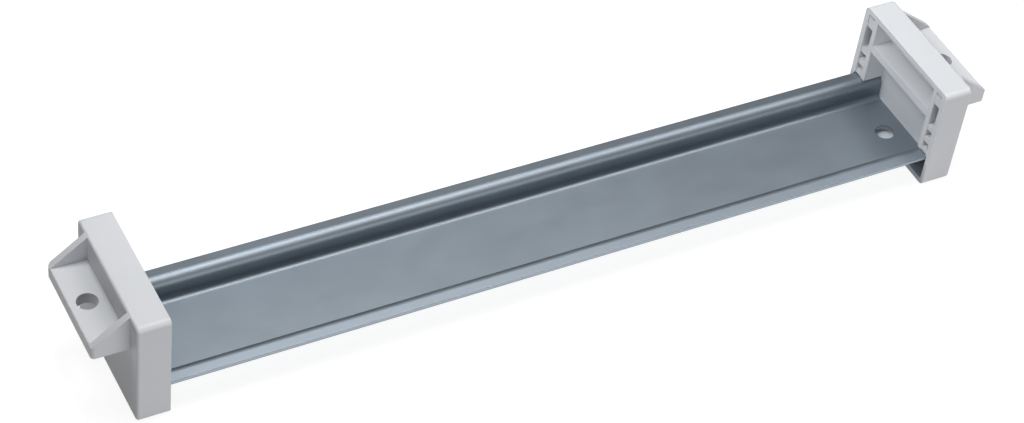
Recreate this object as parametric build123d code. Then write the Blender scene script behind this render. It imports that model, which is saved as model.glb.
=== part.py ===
from build123d import *
import os

# DIN rail set between two moulded end brackets. All sizes are in millimetres.
# X runs along the rail, Y across it and Z is up. The origin lies on the floor,
# under the middle of the rail. The rail is set with its open side up.

# Rail: one steel strip, roll-formed to a top-hat section and cut to length.
rail_length = 221.0
rail_width = 35.0
rail_height = 7.5
lip_width = 4.0
sheet = 1.0
bend_inside = 1.4
lip_fall = 0.3
lip_edge_round = 0.3
rail_hole_diameter = 5.2
rail_hole_inset = 6.0

# Bracket block: a hollow moulding that is open towards the rail.
block_width = 38.0
block_height = 31.0
end_wall = 2.2
side_wall = 1.7
top_wall = 1.5
floor_wall = 1.5
seat_depth = 6.0
corner_round = 1.4
end_edge_round = 0.7
rail_clearance = 0.2
hole_notch_clearance = 1.0

# Ribs inside the block. Bottoms are heights above its underside. The top rung's underside
# is given by its drop from the block's top.
upright_offset = 13.3
upright_thickness = 1.5
upright_setback = 0.2
shelf_bottom = 19.4
shelf_thickness = 2.2
shelf_setback = 0.3
keeper_thickness = 1.4
rung_setback = 0.4
rung_thickness = 1.7
rung_bottoms = [12.5, 16.5]
top_rung_thickness = 3.2
top_rung_drop = 5.7

# Ear: the screw flange on the block's outer face, with a gusset at each end.
# Drops are measured down from the block's top.
ear_reach = 9.1
ear_width = 28.6
ear_drop = 7.25
ear_thickness = 3.3
ear_corner_round = 1.0
ear_edge_round = 0.4
ear_hole_diameter = 5.2
ear_hole_reach = 4.7
gusset_thickness = 1.8
gusset_drop = 0.3

# Places that follow from the sizes above.
block_depth = seat_depth + end_wall
span = rail_length - 2 * seat_depth
rail_underside = floor_wall
lip_top = rail_underside + rail_height
lip_pocket_top = lip_top + rail_clearance
upright_outside = upright_offset + upright_thickness
top_rung_bottom = block_height - top_rung_drop
ear_top = block_height - ear_drop
gusset_top = block_height - gusset_drop


def y_band(low, high, z_low, z_high):
    """Rectangle on the YZ plane between two Y values and two heights."""
    return Pos((low + high) / 2, (z_low + z_high) / 2) * Rectangle(high - low, z_high - z_low)


def both_sides(shape):
    """A shape on the YZ plane together with its mirror image across the rail."""
    return shape + mirror(shape, Plane.YZ)


def rail():
    """Top-hat strip with a round hole near each end. Its lips reach out past the walls, falling a little."""
    lip_middle = rail_height - sheet / 2
    lip_root = lip_middle + lip_fall / 2
    lip_end = lip_middle - lip_fall / 2
    wall_middle = rail_width / 2 - lip_width - sheet / 2
    middle_line = FilletPolyline(
        (-rail_width / 2, lip_end),
        (-wall_middle, lip_root),
        (-wall_middle, sheet / 2),
        (wall_middle, sheet / 2),
        (wall_middle, lip_root),
        (rail_width / 2, lip_end),
        radius=bend_inside + sheet / 2,
    )
    section = trace(middle_line, sheet)
    strip = extrude(Plane.YZ * section, rail_length / 2, both=True)
    lip_edges = (strip.edges() | Axis.X).filter_by(
        lambda edge: abs(edge.center().Y) > rail_width / 2 - sheet / 10
    )
    strip = fillet(lip_edges, lip_edge_round)
    hole_x = rail_length / 2 - rail_hole_inset
    for x in (-hole_x, hole_x):
        strip -= Pos(x, 0, sheet / 2) * Cylinder(rail_hole_diameter / 2, 2 * sheet)
    return Pos(0, 0, rail_underside) * strip


def block():
    """Hollow block: rim at X = 0 towards the rail, closed by the end wall."""
    outline = Pos(0, block_height / 2) * RectangleRounded(block_width, block_height, corner_round)
    body = extrude(Plane.YZ * outline, block_depth)
    body = fillet(body.faces().sort_by(Axis.X)[-1].edges(), end_edge_round)
    inside = block_width / 2 - side_wall
    chamber = y_band(-inside, inside, floor_wall, block_height - top_wall)
    pocket_half = rail_width / 2 + rail_clearance
    rail_pocket = y_band(-pocket_half, pocket_half, floor_wall, lip_pocket_top)
    body -= extrude(Plane.YZ * (chamber + rail_pocket), seat_depth)
    return body - hole_notch()


def hole_notch():
    """Slot through the floor that keeps the rail's end hole open from below."""
    centre_x = seat_depth - rail_hole_inset
    radius = rail_hole_diameter / 2 + hole_notch_clearance
    reach = centre_x + radius
    slot = Pos(centre_x, 0) * Circle(radius) + Pos(centre_x - reach / 2, 0) * Rectangle(reach, 2 * radius)
    return extrude(slot, floor_wall)


def ribs():
    """Uprights, shelf, rail keepers and rungs that stiffen the block and hold the rail."""
    inside = block_width / 2 - side_wall
    ceiling = block_height - top_wall
    upright = y_band(upright_offset, upright_outside, lip_pocket_top, ceiling)
    shelf = y_band(-upright_offset, upright_offset, shelf_bottom, shelf_bottom + shelf_thickness)
    keeper = y_band(upright_offset, inside, lip_pocket_top, lip_pocket_top + keeper_thickness)
    top_rung_top = top_rung_bottom + top_rung_thickness
    rungs = keeper + y_band(upright_outside, inside, top_rung_bottom, top_rung_top)
    for bottom in rung_bottoms:
        rungs += y_band(upright_outside, inside, bottom, bottom + rung_thickness)
    built = set_back(both_sides(upright), upright_setback)
    built += set_back(shelf, shelf_setback)
    built += set_back(both_sides(rungs), rung_setback)
    return built


def set_back(shape, setback):
    """Ribs standing on the end wall, with their edges set back from the block's rim."""
    return Pos(setback, 0, 0) * extrude(Plane.YZ * shape, seat_depth - setback)


def ear():
    """Screw flange with rounded corners and a sloping gusset at each end."""
    root = block_depth - end_wall / 2
    tip = block_depth + ear_reach
    plan = Pos((root + tip) / 2, 0) * Rectangle(tip - root, ear_width)
    plan = fillet(plan.vertices().group_by(Axis.X)[-1], ear_corner_round)
    plate = Pos(0, 0, ear_top - ear_thickness) * extrude(plan, ear_thickness)
    plate = fillet(plate.edges().group_by(Axis.Z)[-1].filter_by(clear_of_block), ear_edge_round)
    profile = Polyline(
        (root, ear_top - ear_thickness / 2),
        (root, gusset_top),
        (block_depth, gusset_top),
        (tip, ear_top),
        (tip, ear_top - ear_thickness / 2),
        close=True,
    )
    gusset = extrude(Plane.XZ * make_face(profile), gusset_thickness)
    gussets = Pos(0, ear_width / 2, 0) * gusset + Pos(0, gusset_thickness - ear_width / 2, 0) * gusset
    gussets &= extrude(plan, block_height)
    hole_x = block_depth + ear_hole_reach
    hole = Pos(hole_x, 0, ear_top) * Cylinder(ear_hole_diameter / 2, 2 * block_height)
    return plate + gussets - hole


def clear_of_block(edge):
    """True for an edge that lies wholly outside the block."""
    return edge.bounding_box().min.X > block_depth - end_wall / 4


def bracket():
    """End bracket with its rim at X = 0 and its ear towards +X."""
    return block() + ribs() + ear()


os.makedirs("parts", exist_ok=True)
right_bracket = Pos(span / 2, 0, 0) * bracket()
export_step(rail(), "parts/rail.step")
export_step(right_bracket, "parts/bracket_right.step")
export_step(Rot(Z=180) * right_bracket, "parts/bracket_left.step")
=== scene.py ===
import math

import bpy
from mathutils import Euler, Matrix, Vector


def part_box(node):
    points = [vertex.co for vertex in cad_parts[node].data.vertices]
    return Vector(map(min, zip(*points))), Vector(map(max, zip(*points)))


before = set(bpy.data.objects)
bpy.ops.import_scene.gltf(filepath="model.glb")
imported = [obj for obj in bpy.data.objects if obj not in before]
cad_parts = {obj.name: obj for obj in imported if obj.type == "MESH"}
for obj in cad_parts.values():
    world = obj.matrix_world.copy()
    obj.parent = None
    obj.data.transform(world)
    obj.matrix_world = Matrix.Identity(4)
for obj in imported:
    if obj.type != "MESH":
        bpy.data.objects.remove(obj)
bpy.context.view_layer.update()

# The rail: one strip of zinc-plated steel, roll-formed to a top-hat section and cut to
# length. The plating is bluish and faintly mottled, with fine lines along the rolling.
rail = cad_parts["rail"]
STEEL = (0.319, 0.367, 0.414, 1)
STEEL_DULL = (0.282, 0.324, 0.367, 1)
STEEL_ROUGHNESS = 0.45
MOTTLE_SCALE = 160
MOTTLE_STRETCH = (0.6, 1, 1)
MOTTLE_ROUGHNESS = 0.1
ROLLING_SCALE = 1800
ROLLING_STRETCH = (0.02, 1, 1)
ROLLING_ROUGHNESS = 0.06
ROLLING_STRENGTH = 0.12
ROLLING_DEPTH = 0.00005


class Wire:
    """One output of a shader node, which takes part in ordinary arithmetic."""

    def __init__(self, socket):
        self.socket = socket

    def node(self, kind, settings, inputs, output=0):
        """Any other node, from its type, its settings and the values or wires of its sockets."""
        made = self.socket.id_data.nodes.new(kind)
        for name, value in settings.items():
            setattr(made, name, value)
        for name, value in inputs.items():
            if isinstance(value, Wire):
                self.socket.id_data.links.new(value.socket, made.inputs[name])
            else:
                made.inputs[name].default_value = value
        return Wire(made.outputs[output])

    def maths(self, operation, *numbers):
        return self.node("ShaderNodeMath", {"operation": operation}, dict(enumerate(numbers)))

    def __add__(self, other):
        return self.maths("ADD", self, other)

    __radd__ = __add__

    def __sub__(self, other):
        return self.maths("SUBTRACT", self, other)

    def __rsub__(self, other):
        return self.maths("SUBTRACT", other, self)

    def __mul__(self, other):
        return self.maths("MULTIPLY", self, other)

    __rmul__ = __mul__

    def tint(self, low, high):
        """A colour between two others, with this wire as the share of the second."""
        # A mix node has sockets of one name for each kind of value, so they go by number.
        return self.node("ShaderNodeMix", {"data_type": "RGBA"}, {0: self, 6: low, 7: high}, 2)

    def noise(self, scale, detail=2.0, roughness=0.5):
        """Soft random patches over the places that this wire gives."""
        settings = {"noise_dimensions": "3D"}
        inputs = {"Vector": self, "Scale": scale, "Detail": detail, "Roughness": roughness}
        return self.node("ShaderNodeTexNoise", settings, inputs)

    def stretched(self, scale):
        return self.node("ShaderNodeMapping", {}, {"Vector": self, "Scale": scale})

    def relief(self, strength, depth):
        """A fine bump that rises and falls with this wire."""
        inputs = {"Strength": strength, "Distance": depth, "Height": self}
        return self.node("ShaderNodeBump", {}, inputs)


def new_finish(name):
    """A new material: itself, its surface shader and a wire with the place on the object."""
    material = bpy.data.materials.new(name)
    material.use_nodes = True
    surface = material.node_tree.nodes["Principled BSDF"]
    coordinates = material.node_tree.nodes.new("ShaderNodeTexCoord")
    return material, surface, Wire(coordinates.outputs["Object"])


def connect(wire, surface, socket):
    surface.id_data.links.new(wire.socket, surface.inputs[socket])


def coat_with(node, material):
    """Gives a CAD piece its finish."""
    node.data.materials.clear()
    node.data.materials.append(material)


zinc, zinc_surface, place = new_finish("zinc_plated_steel")
mottle = place.stretched(MOTTLE_STRETCH).noise(MOTTLE_SCALE, detail=3)
rolling = place.stretched(ROLLING_STRETCH).noise(ROLLING_SCALE, detail=3, roughness=0.6)
zinc_roughness = STEEL_ROUGHNESS + MOTTLE_ROUGHNESS * mottle + ROLLING_ROUGHNESS * rolling
connect(mottle.tint(STEEL_DULL, STEEL), zinc_surface, "Base Color")
connect(zinc_roughness, zinc_surface, "Roughness")
connect(rolling.relief(ROLLING_STRENGTH, ROLLING_DEPTH), zinc_surface, "Normal")
zinc_surface.inputs["Metallic"].default_value = 1
coat_with(rail, zinc)

# The end brackets: one moulding in light grey plastic, used at both ends and turned
# half round. The rail's end is pushed into it from its open side.
PLASTIC = (0.615, 0.63, 0.655, 1)
PLASTIC_PALE = (0.655, 0.67, 0.695, 1)
PLASTIC_ROUGHNESS = 0.42
CLOUD_SCALE = 70
GRIT_SCALE = 5200
GRIT_ROUGHNESS = 0.12
GRIT_STRENGTH = 0.1
GRIT_DEPTH = 0.00003

moulding, moulding_surface, place = new_finish("grey_moulding")
clouds = place.noise(CLOUD_SCALE, detail=3)
grit = place.noise(GRIT_SCALE)
connect(clouds.tint(PLASTIC, PLASTIC_PALE), moulding_surface, "Base Color")
connect(PLASTIC_ROUGHNESS + GRIT_ROUGHNESS * grit, moulding_surface, "Roughness")
connect(grit.relief(GRIT_STRENGTH, GRIT_DEPTH), moulding_surface, "Normal")
for name in ("bracket_left", "bracket_right"):
    coat_with(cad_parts[name], moulding)

# The floor: a plain white sheet. It glows white where it is seen, and keeps a pale shadow
# under the part. Under the rail's end holes its glow is cut off as painted shade, so only lamps
# light it.
FLOOR_SIZE = 8.0
FLOOR_SEEN = (0.25, 0.25, 0.25, 1)
FLOOR_GLOW = (0.89, 0.89, 0.89, 1)
FLOOR_BOUNCE = (0.35, 0.35, 0.35, 1)
FLOOR_ROUGHNESS = 0.9
# Painted shade: the paper's colour under the rail's end holes, where the floor does not glow.
HOLE_SHADE_PAPER = (0.56, 0.59, 0.63, 1)
HOLE_SHADE_RADIUS = 0.006
RAIL_HOLE_INSET = 0.006
BLACK = (0, 0, 0, 1)

bpy.ops.mesh.primitive_plane_add(size=FLOOR_SIZE)
floor = bpy.context.object
floor.name = "floor"
paper, paper_surface, place = new_finish("white_paper")

# Only rays that show the floor see its glow, so the glow throws no light on the part.
rays = paper.node_tree.nodes.new("ShaderNodeLightPath")
seen = Wire(rays.outputs["Is Camera Ray"]) + Wire(rays.outputs["Is Glossy Ray"])
seen = seen + Wire(rays.outputs["Is Transmission Ray"])
seen = seen.maths("MINIMUM", seen, 1.0)

# Both ends of the floor are folded onto one, so one measure serves both holes.
rail_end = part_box("rail")[1][0]
rail_hole = (rail_end - RAIL_HOLE_INSET, 0, 0)
folded = place.node("ShaderNodeVectorMath", {"operation": "ABSOLUTE"}, {0: place})
measure = {"operation": "DISTANCE"}
from_hole = folded.node("ShaderNodeVectorMath", measure, {0: folded, 1: rail_hole}, "Value")
# Painted shade: a disc under each rail hole where the floor does not glow, so it shows darker.
hole_shade_mask = from_hole.maths("LESS_THAN", from_hole, HOLE_SHADE_RADIUS)

glowing = seen * (1 - hole_shade_mask)
unlit = hole_shade_mask.tint(FLOOR_BOUNCE, HOLE_SHADE_PAPER)
connect(glowing.tint(unlit, FLOOR_SEEN), paper_surface, "Base Color")
connect(glowing.tint(BLACK, FLOOR_GLOW), paper_surface, "Emission Color")
paper_surface.inputs["Emission Strength"].default_value = 1
paper_surface.inputs["Roughness"].default_value = FLOOR_ROUGHNESS
paper_surface.inputs["Specular IOR Level"].default_value = 0
floor.data.materials.append(paper)

# The light: plain soft lamps over the rail, beside it and low before it, in a dim studio.
# Each lamp has its place, its size, its turn in degrees and its watts.
LAMPS = {
    "softbox": ((-0.0675, 0.065, 0.35), (0.565, 0.13), (0, 0, 0), 1.0),
    "right_softbox": ((0.2475, -0.03, 0.36), (0.395, 0.18), (0, 0, 0), 0.55),
    "left_lamp": ((-0.09, 0.02, 0.28), (0.14, 0.14), (0, -70, 0), 0.54),
    "front_lamp": ((-0.02, -0.5, 0.045), (0.8, 0.08), (86, 0, 3), 1.5),
}
STUDIO = (0.03, 0.03, 0.031, 1)

for name, (spot, size, turn, watts) in LAMPS.items():
    area = bpy.data.lights.new(name, "AREA")
    area.shape = "RECTANGLE"
    area.size, area.size_y = size
    area.energy = watts
    lamp = bpy.data.objects.new(name, area)
    lamp.location = spot
    lamp.rotation_euler = [math.radians(angle) for angle in turn]
    bpy.context.scene.collection.objects.link(lamp)

world = bpy.data.worlds.new("studio")
bpy.context.scene.world = world
world.use_nodes = True
world.node_tree.nodes["Background"].inputs["Color"].default_value = STUDIO

# The camera: a long lens, in front of the rail's left half and well above it. Its place is
# in metres, its turn in degrees, and its lens and sensor are in millimetres.
CAMERA_PLACE = (-0.2601, -0.3947, 0.4719)
CAMERA_TURN = (45.312, -5.777, -26.918)
CAMERA_LENS = 93.995
CAMERA_SENSOR = 36
CAMERA_REACH = 50

lens = bpy.data.cameras.new("camera")
lens.lens = CAMERA_LENS
lens.sensor_width = CAMERA_SENSOR
lens.clip_end = CAMERA_REACH
camera = bpy.data.objects.new("camera", lens)
camera.location = CAMERA_PLACE
camera.rotation_euler = Euler([math.radians(angle) for angle in CAMERA_TURN], "XYZ")
bpy.context.scene.collection.objects.link(camera)
bpy.context.scene.camera = camera
bpy.context.scene.view_settings.view_transform = "Standard"
